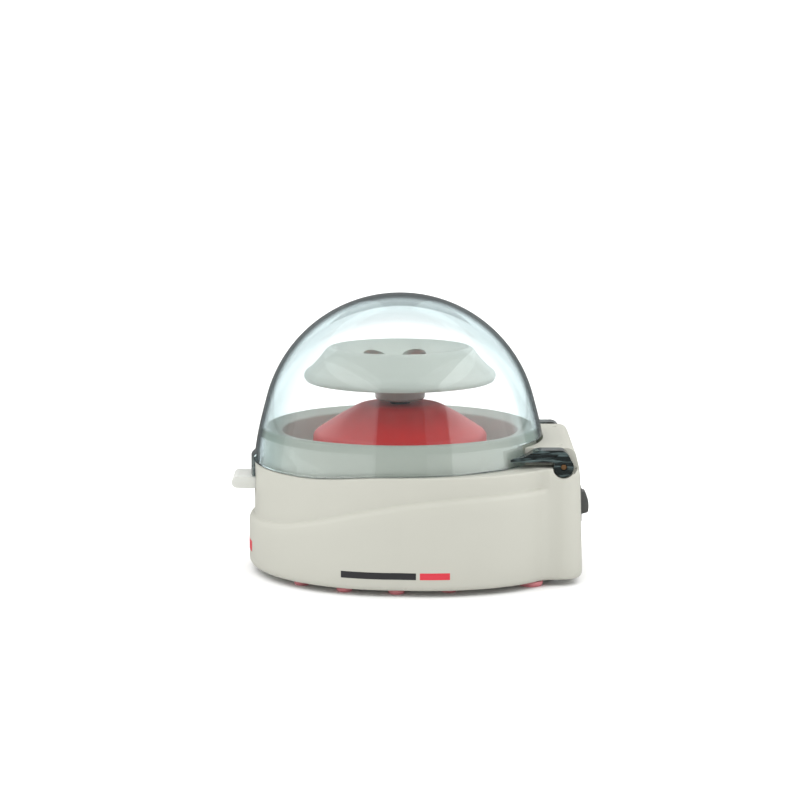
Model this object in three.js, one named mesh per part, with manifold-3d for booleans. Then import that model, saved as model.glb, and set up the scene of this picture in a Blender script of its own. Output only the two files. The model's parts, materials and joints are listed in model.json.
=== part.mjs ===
// Mini laboratory centrifuge: a palm-sized spinner with a clear dome lid, six tube places
// and a rear rocker switch. Millimetres, +Z up. The front (lid tongue and release tab) faces
// -Y, the lid hinge and the switch are at +Y. Everything is drawn about the rotor axis and
// the finished assembly is then moved so that its origin is the middle of its footprint.

import * as THREE from 'three';
import { mergeVertices } from 'three/addons/utils/BufferGeometryUtils.js';
import Module from 'manifold-3d';

const wasm = await Module();
wasm.setup();

// ---------------------------------------------------------------- driving dimensions

const GAP = 0.3; // clearance between touching pieces
const DEG = Math.PI / 180;

const BODY_BOTTOM = 2.6; // underside of the case above the table
const CASE_WALL = 2.4;
const DECK_TOP = 45; // floor of the lid well, which carries the bowl
const DECK_UNDER = 43;
const RIM_REAR = 49.5; // case rim beside the hinge
const RIM_FRONT = 47.2; // the rim drops a little towards the front
const SHELF_TOP = 50;
const WELL_RADIUS = 60.3;

const UPPER_RADIUS = 62.5; // front of the upper case section
const LOWER_RADIUS = 65; // front of the lower, wider case section
const REAR_FACE = 76.8; // at the bottom edge
const REAR_LEAN = 0.028; // the rear face leans forwards by this much for each mm of height
const SHOULDER_FRONT = 24.3;
const SHOULDER_REAR = 42;
const CREASE_Y = 57; // vertical crease where the side turns into the hinge block

const BLOCK_HALF = 32; // raised hinge block between the two hinge ears
const BLOCK_TOP = 57;

const HINGE_Y = 68.3;
const HINGE_Z = 50.3;
const EAR_RADIUS = 4.15;
const EAR_INNER = 33.5;
const EAR_OUTER = 41.5;
const ARM_UNDER = 52.4;
const ARM_TOP = 57.4;
const PIN_RADIUS = 1.2;

const DOME_RADIUS = 59.2; // outer sphere of the lid
const DOME_CENTRE = 59.4;
const DOME_WALL = 2.2;
const LID_REAR_EDGE = 58.2; // the lid edge is cut higher over the hinge block

const BOWL_RADIUS = 58.7;
const CONE_RADIUS = 37.4;
const CONE_TOP = 71.2;

const TUBE_COUNT = 6;
const TUBE_RADIUS = 5.6; // holes for 1.5 and 2 mL tubes
const TUBE_PITCH = 16.6;
const TUBE_HEIGHT = 89.4;
const TUBE_PHASE = 39;

const SHAFT_RADIUS = 1.6;
const MOTOR_RADIUS = 13.9;

const SWITCH_X = 13;
const SWITCH_Z = 30;
const SWITCH_FACE = 77.4; // outer face of the bezel
const ROCKER_PIVOT_Y = 73.5;
const ROCKER_TILT = 9; // each side of the level position
const JACK_X = -14;

const LATCH_PIVOT_Y = -56.5;
const LATCH_PIVOT_Z = 38.2;
const LATCH_HALF = 10.5;

const PLUNGER_X = -37.5;
const PLUNGER_Y = 54.5;

const FOOT_RING = 56.5;
const FOOT_ANGLES = [-46.5, -24, -1.5, 21];
const REAR_FOOT = [40.5, 54.7];
const CASE_SCREWS = [[42, -24], [-42, -24], [33.5, 66], [-33.5, 66]];
const DAMPER_RING = 24;

const ORIGIN_SHIFT_Y = -4.1; // middle of the tab-to-switch length

// ---------------------------------------------------------------- shape helpers

/** A three.js geometry as a solid that can be joined and cut. */
function solid(geometry) {
  const source = geometry.index ? geometry.toNonIndexed() : geometry.clone();
  source.deleteAttribute('normal');
  source.deleteAttribute('uv');
  const merged = mergeVertices(source, 1e-4);
  const index = [];
  for (let i = 0; i < merged.index.count; i += 3) {
    const [a, b, c] = [0, 1, 2].map((k) => merged.index.getX(i + k));
    if (a !== b && b !== c && c !== a) index.push(a, b, c);
  }
  const build = (triangles) => new wasm.Manifold(new wasm.Mesh({
    numProp: 3,
    vertProperties: new Float32Array(merged.attributes.position.array),
    triVerts: Uint32Array.from(triangles),
  }));
  const made = build(index);
  if (made.volume() > 0) return made;
  const flipped = [];
  for (let i = 0; i < index.length; i += 3) flipped.push(index[i], index[i + 2], index[i + 1]);
  return build(flipped);
}

/** The solid as a BufferGeometry again. */
function geometryOf(manifold) {
  const mesh = manifold.getMesh();
  const geometry = new THREE.BufferGeometry();
  geometry.setAttribute('position', new THREE.BufferAttribute(new Float32Array(mesh.vertProperties), 3));
  geometry.setIndex(new THREE.BufferAttribute(new Uint32Array(mesh.triVerts), 1));
  return geometry;
}

const join = (first, ...rest) => rest.reduce((sum, next) => sum.add(next), first);
const cut = (first, ...rest) => rest.reduce((left, next) => left.subtract(next), first);

/** Ring or cap turned about +Z from a closed [radius, height] outline. */
function turned(outline, segments = 40) {
  const points = outline.map(([r, z]) => new THREE.Vector2(r, z));
  points.push(points[0].clone());
  return solid(new THREE.LatheGeometry(points, segments).rotateX(Math.PI / 2));
}

/** Plan outline, as [x, y] points, raised from one height to another. */
function raised(points, low, high) {
  const shape = new THREE.Shape(points.map(([x, y]) => new THREE.Vector2(x, y)));
  const geometry = new THREE.ExtrudeGeometry(shape, { depth: high - low, bevelEnabled: false });
  return geometry.translate(0, 0, low);
}

/** The same for a case outline, whose rear face leans forwards on its way up. */
function raisedCase(points, low, high) {
  const geometry = raised(points, low, high);
  const place = geometry.attributes.position;
  for (let i = 0; i < place.count; i += 1) {
    const rearward = Math.max(0, (place.getY(i) - CREASE_Y) / (REAR_FACE - CREASE_Y));
    place.setY(i, place.getY(i) - rearward * REAR_LEAN * (place.getZ(i) - BODY_BOTTOM));
  }
  return solid(geometry);
}

/** Side profile, as [y, z] points, run across the case from one x to another. */
function across(points, low, high) {
  const shape = new THREE.Shape(points.map(([y, z]) => new THREE.Vector2(y, z)));
  const geometry = new THREE.ExtrudeGeometry(shape, { depth: high - low, bevelEnabled: false });
  const turn = new THREE.Matrix4().makeBasis(
    new THREE.Vector3(0, 1, 0), new THREE.Vector3(0, 0, 1), new THREE.Vector3(1, 0, 0),
  );
  return solid(geometry.applyMatrix4(turn).translate(low, 0, 0));
}

function block(x0, x1, y0, y1, z0, z1) {
  const geometry = new THREE.BoxGeometry(x1 - x0, y1 - y0, z1 - z0);
  return solid(geometry.translate((x0 + x1) / 2, (y0 + y1) / 2, (z0 + z1) / 2));
}

/** Round bar between two points. */
function bar(radius, from, to, segments = 16) {
  const a = new THREE.Vector3(...from);
  const b = new THREE.Vector3(...to);
  const geometry = new THREE.CylinderGeometry(radius, radius, a.distanceTo(b), segments);
  const turn = new THREE.Quaternion().setFromUnitVectors(
    new THREE.Vector3(0, 1, 0), b.clone().sub(a).normalize(),
  );
  geometry.applyQuaternion(turn);
  return solid(geometry.translate(...a.add(b).multiplyScalar(0.5).toArray()));
}

/** Wire, or a coil of wire, along a curve. */
function wire(curve, radius, steps, sides = 6) {
  const section = new THREE.Shape();
  section.absarc(0, 0, radius, 0, Math.PI * 2);
  return solid(new THREE.ExtrudeGeometry(section, {
    steps, extrudePath: curve, curveSegments: sides / 2, bevelEnabled: false,
  }));
}

const polar = (radius, degrees) => [radius * Math.cos(degrees * DEG), radius * Math.sin(degrees * DEG)];

/** A closed outline moved inwards by a distance, point by point along its normals. */
function inset(points, distance) {
  return points.map((point, i) => {
    const before = points[(i + points.length - 1) % points.length];
    const after = points[(i + 1) % points.length];
    const tangent = new THREE.Vector2(after[0] - before[0], after[1] - before[1]).normalize();
    return [point[0] - tangent.y * distance, point[1] + tangent.x * distance];
  });
}

// ---------------------------------------------------------------- case outlines

/** Plan of a case section: round front, bulged sides, and a narrower square rear. */
function caseOutline(radius, bulge, crease, side, rear, corner) {
  const path = new THREE.Path();
  path.absarc(0, 0, radius, -Math.PI / 2, 0, false);
  path.bezierCurveTo(bulge[0][0], bulge[0][1], bulge[1][0], bulge[1][1], crease[0], crease[1]);
  path.bezierCurveTo(side + 1, crease[1] + 2, side + 0.2, crease[1] + 4, side, crease[1] + 7);
  path.lineTo(side, rear - corner);
  path.absarc(side - corner, rear - corner, corner, 0, Math.PI / 2, false);
  const half = path.getPoints(5).map((p) => [p.x, p.y]);
  const apart = (p, q) => Math.hypot(p[0] - q[0], p[1] - q[1]) > 0.05;
  const clean = half.filter((p, i) => i === 0 || apart(p, half[i - 1]));
  const mirrored = clean.slice(1).reverse().map(([x, y]) => [-x, y]);
  return [...clean, ...mirrored];
}

const lowerOutline = caseOutline(
  LOWER_RADIUS, [[68.6, 22], [61.5, 45.5]], [46.5, 58.5], 43.8, REAR_FACE, 9.5,
);
const upperOutline = caseOutline(
  UPPER_RADIUS, [[66.2, 21.5], [59.4, 44]], [45.2, 56.8], 43.4, 72, 6,
);

/** Points of a cubic curve in the side view. */
function sideCurve(points, count) {
  const curve = new THREE.CubicBezierCurve(...points.map(([y, z]) => new THREE.Vector2(y, z)));
  return curve.getPoints(count).map((p) => [p.x, p.y]);
}

const shoulderCurve = sideCurve([
  [-66, SHOULDER_FRONT], [-34, SHOULDER_FRONT + 2], [-22, SHOULDER_REAR], [CREASE_Y, SHOULDER_REAR],
], 14);
const rimCurve = sideCurve([[-44, RIM_FRONT], [-30, RIM_FRONT], [-20, RIM_REAR], [-5, RIM_REAR]], 6);

/** Side profile of everything below the rim line, raised by a clearance. */
const belowRim = (clearance, low, rear) => [
  [-80, low],
  ...[[-80, RIM_FRONT], ...rimCurve, [rear, RIM_REAR]].map(([y, z]) => [y, z + clearance]),
  [rear, low],
].reverse();

// ---------------------------------------------------------------- case

function housingShell() {
  const belowShoulder = across([
    [-80, BODY_BOTTOM - 1], [CREASE_Y + 30, BODY_BOTTOM - 1], [CREASE_Y + 30, 47],
    [75.4, 48], [74.6, SHELF_TOP], [CREASE_Y, SHELF_TOP], ...[...shoulderCurve].reverse(),
    [-80, SHOULDER_FRONT],
  ], -80, 80);
  const lower = raisedCase(lowerOutline, BODY_BOTTOM, 70).intersect(belowShoulder);
  const upper = raisedCase(upperOutline, BODY_BOTTOM + 4, 70).intersect(across(belowRim(0, 0, 64), -80, 80));
  const hingeBlock = raisedCase(lowerOutline, 30, 70).intersect(across([
    [CREASE_Y - 2, 30], [CREASE_Y + 30, 30], [CREASE_Y + 30, 47], [75.4, 48.5], [74.9, 51.6],
    [73.7, 54.8], [71.9, BLOCK_TOP], [CREASE_Y - 2, BLOCK_TOP],
  ], -BLOCK_HALF, BLOCK_HALF));
  let shell = join(lower, upper, hingeBlock);

  // lid well, and the hollows under the deck and in the hinge block
  const well = turned([[0, DECK_TOP], [WELL_RADIUS, DECK_TOP], [WELL_RADIUS, 80], [0, 80]], 36);
  const lowerHollow = raisedCase(inset(lowerOutline, CASE_WALL), -1, SHOULDER_FRONT - CASE_WALL - 1.5);
  const upperHollow = raisedCase(inset(upperOutline, CASE_WALL), -1, DECK_UNDER)
    .intersect(block(-70, 70, -70, CREASE_Y, -2, DECK_UNDER));
  const rearHollow = block(-41, 41, CREASE_Y - 1, REAR_FACE, -1, 40)
    .intersect(raisedCase(inset(lowerOutline, CASE_WALL), -1, 41));
  const blockHollow = block(-28, 28, 62.8, 69.8, 39, 53.5);
  const motorHole = bar(20, [0, 0, DECK_UNDER - 5], [0, 0, DECK_TOP + 5], 32);
  shell = cut(shell, well, lowerHollow, upperHollow, rearHollow, blockHollow, motorHole);

  // pockets for the hinge ears, open at the sides, with room for the swing of the lid arms
  const swingReach = [[24, 7.4], [12, 7.4], [0, 7.3], [-8, 6.6], [-18, 6.1], [-36, 5.2]];
  for (const side of [-1, 1]) {
    const inner = side * (EAR_INNER - 0.9);
    const outer = side * 50;
    const pocket = bar(EAR_RADIUS + 0.45, [inner, HINGE_Y, HINGE_Z], [outer, HINGE_Y, HINGE_Z], 24);
    const arc = swingReach.map(([angle, reach]) => {
      const [dy, dz] = polar(reach, angle);
      return [HINGE_Y + dy, HINGE_Z + dz];
    });
    const swing = across(
      [...arc, [HINGE_Y, HINGE_Z]].reverse(), Math.min(inner, outer), Math.max(inner, outer),
    );
    const pin = bar(PIN_RADIUS + GAP, [side * 28.5, HINGE_Y, HINGE_Z], [inner, HINGE_Y, HINGE_Z], 12);
    shell = cut(shell, pocket, swing, pin);
  }

  // slot for the release tab, with two ears inside that hold its pivot pin
  const ears = [-1, 1].map((side) => {
    const near = side * (LATCH_HALF + 0.6);
    const far = side * (LATCH_HALF + 3);
    const [low, high] = [Math.min(near, far), Math.max(near, far)];
    return block(low, high, -61.5, LATCH_PIVOT_Y + 2.4, 35.4, DECK_UNDER + 0.5);
  });
  const slot = block(-LATCH_HALF - 0.4, LATCH_HALF + 0.4, -70, -58, 34.4, 41.1);
  const pivotBore = bar(1.35, [-LATCH_HALF - 4, LATCH_PIVOT_Y, LATCH_PIVOT_Z],
    [LATCH_HALF + 4, LATCH_PIVOT_Y, LATCH_PIVOT_Z], 12);
  shell = cut(join(shell, ...ears), slot, pivotBore);

  // posts for the case screws, and sockets for the three motor screws
  for (const [x, y] of CASE_SCREWS) {
    const post = bar(3.4, [x, y, 5.4], [x, y, y > 0 ? 40.5 : DECK_UNDER + 0.5], 12);
    shell = join(shell, post).subtract(bar(1.5, [x, y, 4], [x, y, 18], 10));
  }
  for (let i = 0; i < 3; i += 1) {
    const [x, y] = polar(DAMPER_RING, 90 + 120 * i);
    const socket = bar(3.2, [x, y, 36], [x, y, DECK_UNDER + 0.5], 12);
    shell = join(shell, socket).subtract(bar(1.6, [x, y, 37.5], [x, y, 50], 10));
  }

  // openings in the rear wall and the bore for the lid switch plunger
  const switchHole = block(SWITCH_X - 4.6, SWITCH_X + 4.6, 70, 82, SWITCH_Z - 6.75, SWITCH_Z + 6.75);
  const jackHole = bar(4.3, [JACK_X, 70, SWITCH_Z], [JACK_X, 82, SWITCH_Z], 20);
  const plungerBore = bar(1.75, [PLUNGER_X, PLUNGER_Y, 41], [PLUNGER_X, PLUNGER_Y, 52], 12);
  return cut(shell, switchHole, jackHole, plungerBore);
}

const footPlaces = [1, -1].flatMap((side) => FOOT_ANGLES.map((angle) => {
  const [x, y] = polar(FOOT_RING, angle);
  return [side * x, y];
}));

function basePlate() {
  const top = BODY_BOTTOM + 2.4;
  let plate = raisedCase(inset(lowerOutline, CASE_WALL + GAP), BODY_BOTTOM, top);
  for (const [x, y] of [[-17, 38], [17, 38], [-17, 58], [17, 58]]) {
    plate = join(plate, bar(2, [x, y, top - 0.5], [x, y, 10], 10));
  }
  for (const [x, y] of footPlaces) plate = plate.subtract(bar(2, [x, y, 0], [x, y, 9], 10));
  for (const side of [-1, 1]) {
    const [x, y] = REAR_FOOT;
    plate = plate.subtract(bar(2.6, [side * x, y, 0], [side * x, y, 9], 10));
  }
  for (const [x, y] of CASE_SCREWS) plate = plate.subtract(bar(1.7, [x, y, 0], [x, y, 9], 10));
  for (let i = -2; i <= 2; i += 1) {
    plate = plate.subtract(block(-16, 16, i * 6 - 1.2, i * 6 + 1.2, 0, 9));
  }
  return plate;
}

/** Rubber foot: a round pad with a plug that holds in the base plate. */
function foot(x, y, padRadius, plugRadius) {
  const pad = turned([
    [0, 0], [padRadius - 0.6, 0], [padRadius, BODY_BOTTOM - GAP],
    [plugRadius, BODY_BOTTOM - GAP], [plugRadius, 6.5], [0, 6.5],
  ], 10);
  return pad.translate(x, y, 0);
}

function caseScrew(x, y) {
  return turned([[0, 0.9], [2.5, 0.9], [2.9, BODY_BOTTOM - GAP], [1.2, BODY_BOTTOM - GAP], [1.2, 16],
    [0, 16]], 8).translate(x, y, 0);
}

// ---------------------------------------------------------------- bowl, cone and motor

function rotorBowl() {
  const floor = 47.2;
  return turned([
    [BOWL_RADIUS, DECK_TOP + GAP], [BOWL_RADIUS, 59.8], [58.4, 61.2], [57.6, 61.9], [51, 60.2],
    [50.2, 59.4], [48.6, 49], [46.4, floor], [CONE_RADIUS + 0.7, floor], [CONE_RADIUS + 0.7, DECK_TOP + GAP],
    [47.5, DECK_TOP + GAP], [50.2, 47.5], [51.9, 58.6], [56.9, 59.9], [56.9, DECK_TOP + GAP],
  ], 32);
}

function motorCone() {
  const wall = 2;
  return turned([
    [4.2, CONE_TOP], [16.4, CONE_TOP], [19.6, 69.8], [28, 64.8], [36.5, 58.9],
    [CONE_RADIUS, 57.2], [CONE_RADIUS, DECK_TOP + GAP], [CONE_RADIUS - wall, DECK_TOP + GAP],
    [CONE_RADIUS - wall, 57], [26.8, 63.1], [18.8, 67.8], [15.7, CONE_TOP - wall], [4.2, CONE_TOP - wall],
  ], 28);
}

function shaftSeal() {
  const [low, ledge, top] = [CONE_TOP - 3.6, CONE_TOP + GAP, CONE_TOP + 1.4];
  return turned([[2, low], [3.9, low], [3.9, ledge], [4.4, ledge], [3.2, top], [2, top]], 16);
}

function motorCase() {
  return turned([[3.4, 60], [MOTOR_RADIUS, 60], [MOTOR_RADIUS, 27], [MOTOR_RADIUS - 1.2, 27],
    [MOTOR_RADIUS - 1.2, 58.6], [3.4, 58.6]], 20);
}

function motorEndCap() {
  return turned([[3.4, 23.2], [6, 23.2], [6, 24.4], [MOTOR_RADIUS, 24.4], [MOTOR_RADIUS, 26.7],
    [11, 26.7], [3.4, 26.4]], 20);
}

const bearing = (low) => turned([[1.9, low], [3.1, low], [3.1, low + 2.6], [1.9, low + 2.6]], 10);

function motorMount() {
  const sleeve = MOTOR_RADIUS + GAP;
  let mount = turned([[sleeve, 30], [sleeve + 1.8, 30], [sleeve + 1.8, 48.6], [28, 48.6], [28, 50.4],
    [sleeve, 50.4]], 24);
  for (let i = 0; i < 3; i += 1) {
    const [x, y] = polar(DAMPER_RING, 90 + 120 * i);
    mount = mount.subtract(bar(1.7, [x, y, 45], [x, y, 55], 10));
  }
  return mount;
}

function damper(x, y) {
  return turned([[1.7, DECK_TOP + GAP], [3.4, DECK_TOP + GAP], [3, 46.8], [3.4, 48.3], [1.7, 48.3]], 8)
    .translate(x, y, 0);
}

function motorScrew(x, y) {
  return turned([[0, 39], [1.2, 39], [1.2, 50.7], [2.7, 50.7], [2.4, 52.4], [0, 52.4]], 8)
    .translate(x, y, 0);
}

// ---------------------------------------------------------------- rotor

function driveShaft() {
  return turned([[0, 23.6], [SHAFT_RADIUS, 23.6], [SHAFT_RADIUS, 88.2], [0, 88.2]], 14);
}

function armature() {
  const bore = SHAFT_RADIUS + GAP;
  return turned([[bore, 27.4], [4.5, 27.4], [4.5, 33], [10.8, 35], [10.8, 53], [6, 55.5], [bore, 55.5]], 18);
}

/** Six-place rotor: a dished plate with a rolled lip, open underneath. */
function rotorDisc() {
  const boss = SHAFT_RADIUS + GAP;
  let disc = turned([
    [boss, 84], [11.5, 84], [26.8, 92.7], [30.8, 91.3], [36.4, 85.4],
    [38.7, 84], [38.2, 81.2], [40.1, 81.2], [41.1, 82.9], [40.4, 85.5], [38.3, 86.7],
    [34.2, 91.1], [31.2, 95], [29.6, 95.7], [27.8, 95.2], [11.5, 86.7], [boss, 86.7],
  ], 32);
  for (let i = 0; i < TUBE_COUNT; i += 1) {
    const angle = TUBE_PHASE + (360 / TUBE_COUNT) * i;
    const reach = 9;
    const [x0, y0] = polar(TUBE_PITCH - reach, angle);
    const [x1, y1] = polar(TUBE_PITCH + reach, angle);
    disc = disc.subtract(bar(TUBE_RADIUS, [x0, y0, TUBE_HEIGHT + reach], [x1, y1, TUBE_HEIGHT - reach], 12));
  }
  return disc;
}

function rotorHub() {
  const bore = SHAFT_RADIUS + GAP;
  return turned([[5.9, 72.9], [10.1, 72.9], [10.7, 73.5], [10.7, 83.7], [bore, 83.7], [bore, 77.5],
    [5.9, 77.5]], 20);
}

function rotorCap() {
  const bore = SHAFT_RADIUS + GAP;
  return turned([[0, 88.5], [bore, 88.5], [bore, 87], [5.6, 87], [5.8, 89.1], [4.9, 90.2], [0, 90.5]], 20);
}

const oRing = (height) => turned([[SHAFT_RADIUS + 0.2, height], [3, height + 0.5], [3, height + 1.5],
  [SHAFT_RADIUS + 0.2, height + 2]], 12);

// ---------------------------------------------------------------- lid

/** Dome outline from the top down, moved inwards by a wall thickness. */
function domeProfile(wall) {
  const points = [];
  const steps = 8;
  const lowest = 75.7;
  for (let i = 0; i <= steps; i += 1) {
    const angle = (90 - (lowest * i) / steps) * DEG;
    const radius = DOME_RADIUS - wall;
    points.push([radius * Math.cos(angle), DOME_CENTRE + radius * Math.sin(angle)]);
  }
  for (const [r, z] of [[59.4, 68], [61.3, 61], [62.5, 54], [63, 46]]) points.push([r - wall, z]);
  points[0][0] = 0;
  return points;
}

function lidDome() {
  const outer = turned([...domeProfile(0), [0, 46]], 40);
  const innerProfile = domeProfile(DOME_WALL);
  innerProfile[innerProfile.length - 1][1] = 40;
  const inner = turned([...innerProfile, [0, 40]], 40);

  // the front tongue hangs over the case
  const tongueInner = UPPER_RADIUS + 0.4;
  const tongue = turned([
    [tongueInner, 41.2], [tongueInner + 1.1, 41.2], [tongueInner + 1.1, 49.5], [61.6, 51.5],
    [61.6, 48.2], [tongueInner, 47.7],
  ], 40).intersect(block(-11.5, 11.5, -70, -50, 40, 60));

  const rimCut = across(belowRim(GAP, 30, 60), -80, 80);
  const rearCut = block(-EAR_INNER - 0.2, EAR_INNER + 0.2, 20, 80, 40, LID_REAR_EDGE);
  return join(cut(outer, rimCut, rearCut), tongue).subtract(inner);
}

/** Arm that carries the lid, from the dome's side back to its barrel on the hinge pin. */
function lidArm(side) {
  const [x0, x1] = [side * EAR_INNER, side * EAR_OUTER].sort((a, b) => a - b);
  const strap = across([
    [40, ARM_UNDER], [64.5, ARM_UNDER], [HINGE_Y - 3.2, HINGE_Z], [HINGE_Y + 3.2, HINGE_Z + 1.6],
    [HINGE_Y + 2.9, HINGE_Z + 3.1], [HINGE_Y + 1, HINGE_Z + 5.7], [HINGE_Y - 1.2, ARM_TOP],
    [56.5, ARM_TOP], [51, ARM_UNDER + 1.8], [40, ARM_UNDER + 1.4],
  ], x0, x1);
  const barrel = bar(EAR_RADIUS, [x0, HINGE_Y, HINGE_Z], [x1, HINGE_Y, HINGE_Z], 20);
  const domeRoom = turned([...domeProfile(-GAP), [0, 46]], 40);
  const pinBore = bar(PIN_RADIUS + 0.2, [-60, HINGE_Y, HINGE_Z], [60, HINGE_Y, HINGE_Z], 12);
  return cut(join(strap, barrel), domeRoom, pinBore);
}

function hingePin(side) {
  return bar(PIN_RADIUS, [side * 29, HINGE_Y, HINGE_Z], [side * (EAR_OUTER - 0.2), HINGE_Y, HINGE_Z], 12);
}

// ---------------------------------------------------------------- release tab

function releaseTab() {
  const lever = across([
    [-72.3, 37.6], [-71.6, 36.2], [-69.5, 35.7], [-54.5, 35.9], [-54.5, 40.5], [-70.4, 40.7], [-71.4, 40.2],
  ], -LATCH_HALF, LATCH_HALF);
  const bore = bar(1.35, [-20, LATCH_PIVOT_Y, LATCH_PIVOT_Z], [20, LATCH_PIVOT_Y, LATCH_PIVOT_Z], 12);
  return lever.subtract(bore);
}

function latchPin() {
  const reach = LATCH_HALF + 2.8;
  return bar(1, [-reach, LATCH_PIVOT_Y, LATCH_PIVOT_Z], [reach, LATCH_PIVOT_Y, LATCH_PIVOT_Z], 12);
}

/** Small coil between the inner end of the tab and the deck, which returns the tab. */
function latchSpring() {
  class Coil extends THREE.Curve {
    getPoint(t, target = new THREE.Vector3()) {
      const angle = t * 3 * Math.PI * 2;
      return target.set(1.3 * Math.cos(angle), -55.9 + 1.3 * Math.sin(angle) + 0.6, 41.1 + 1.3 * t);
    }
  }
  return wire(new Coil(), 0.2, 24, 4);
}

// ---------------------------------------------------------------- switch, jack and electronics

function switchFrame() {
  const [x, z] = [SWITCH_X, SWITCH_Z];
  const bezel = block(x - 5.3, x + 5.3, SWITCH_FACE - 0.9, SWITCH_FACE, z - 7.2, z + 7.2);
  const body = block(x - 4.3, x + 4.3, 64, SWITCH_FACE - 0.5, z - 6.45, z + 6.45);
  const hollow = block(x - 3.75, x + 3.75, 66, 90, z - 5.8, z + 5.8);
  return cut(join(bezel, body), hollow);
}

function switchRocker() {
  const level = [[6.1, 4.5], [6.8, 2.6], [6.9, 0], [6.8, -2.6], [6.1, -4.5], [3, -4.9], [-1.6, -3.4], [-3, 0],
    [-1.6, 3.4], [3, 4.9]];
  const [c, s] = polar(1, ROCKER_TILT);
  const tilted = level.map(([y, z]) => [ROCKER_PIVOT_Y + y * c - z * s, SWITCH_Z + y * s + z * c]);
  return across(tilted.reverse(), SWITCH_X - 3.4, SWITCH_X + 3.4);
}

const switchTerminal = (offset) => block(SWITCH_X - 2, SWITCH_X + 2, 58, 63.7, SWITCH_Z + offset - 0.4,
  SWITCH_Z + offset + 0.4);

function powerJack() {
  const flange = SWITCH_FACE - 0.9;
  const jack = turned([[0, 66], [4, 66], [4, flange], [5, flange], [5, flange + 0.7], [2.9, flange + 0.7],
    [2.9, 68], [0.9, 68], [0.9, flange - 0.5], [0, flange - 0.5]], 20);
  return jack.rotate([-90, 0, 0]).translate(JACK_X, 0, SWITCH_Z);
}

const circuitBoard = () => block(-21, 21, 34.5, 61.5, 10.3, 11.9);
const boardConnector = () => block(-18, -8, 50, 56, 12.2, 18);
const boardChip = () => block(6, 14, 38, 43, 12.2, 14);
const boardCapacitor = () => bar(4, [12, 53, 12.2], [12, 53, 24], 16);
const lidSwitchBody = () => block(PLUNGER_X - 4, PLUNGER_X + 4, 46, 56.4, 32, 38.9);
const lidSwitchPlunger = () => bar(1.4, [PLUNGER_X, PLUNGER_Y, 40.4],
  [PLUNGER_X, PLUNGER_Y, ARM_UNDER - GAP], 14);

/** Insulated lead on a smooth route between two terminals. */
function lead(points) {
  return wire(new THREE.CatmullRomCurve3(points.map((p) => new THREE.Vector3(...p))), 0.7, 10, 6);
}

// ---------------------------------------------------------------- materials and assembly

const finish = (color, roughness, metalness = 0, extra = {}) => new THREE.MeshStandardMaterial({
  color, roughness, metalness, ...extra,
});

const CASE_WHITE = finish(0xd9dbd2, 0.5);
const BOWL_GREY = finish(0xb4beb6, 0.55);
const ROTOR_GREY = finish(0xc8d0c9, 0.45);
const CONE_RED = finish(0xaf3434, 0.55);
const FOOT_RED = finish(0xb02f38, 0.7);
const LID_CLEAR = finish(0xcfe6ea, 0.08, 0, { transparent: true, opacity: 0.35 });
const ARM_SMOKE = finish(0x3c4a4a, 0.12, 0, { transparent: true, opacity: 0.9 });
const BLACK_PLASTIC = finish(0x3a3c40, 0.5);
const STEEL = finish(0xa8acb0, 0.3, 1);
const BRONZE = finish(0x8a6038, 0.35, 1);
const RUBBER = finish(0x2b2b2b, 0.8);
const BOARD_GREEN = finish(0x1f6b3a, 0.5);
const TAB_WHITE = finish(0xe4e5df, 0.35);
const WIRE_RED = finish(0xb32020, 0.5);
const WIRE_BLACK = finish(0x202020, 0.5);

function add(group, name, shape, material) {
  const mesh = new THREE.Mesh(geometryOf(shape), material);
  mesh.name = name;
  group.add(mesh);
}

const centrifuge = new THREE.Group();
centrifuge.position.y = ORIGIN_SHIFT_Y;
const [base, lid, rotor, controls] = [0, 1, 2, 3].map(() => new THREE.Group());
centrifuge.add(base, lid, rotor, controls);

add(base, 'housing_shell', housingShell(), CASE_WHITE);
add(base, 'base_plate', basePlate(), CASE_WHITE);
footPlaces.forEach(([x, y], i) => add(base, `small_foot_${i + 1}`, foot(x, y, 3.7, 1.7), FOOT_RED));
add(base, 'rear_foot_right', foot(REAR_FOOT[0], REAR_FOOT[1], 5.6, 2.3), FOOT_RED);
add(base, 'rear_foot_left', foot(-REAR_FOOT[0], REAR_FOOT[1], 5.6, 2.3), FOOT_RED);
CASE_SCREWS.forEach(([x, y], i) => add(base, `case_screw_${i + 1}`, caseScrew(x, y), STEEL));

add(base, 'rotor_bowl', rotorBowl(), BOWL_GREY);
add(base, 'motor_cone', motorCone(), CONE_RED);
add(base, 'shaft_seal', shaftSeal(), RUBBER);
add(base, 'motor_case', motorCase(), STEEL);
add(base, 'motor_end_cap', motorEndCap(), BLACK_PLASTIC);
add(base, 'bearing_upper', bearing(57.8), BRONZE);
add(base, 'bearing_lower', bearing(23.9), BRONZE);
add(base, 'motor_mount', motorMount(), STEEL);
for (let i = 0; i < 3; i += 1) {
  const [x, y] = polar(DAMPER_RING, 90 + 120 * i);
  add(base, `motor_damper_${i + 1}`, damper(x, y), RUBBER);
  add(base, `motor_screw_${i + 1}`, motorScrew(x, y), STEEL);
}

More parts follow.
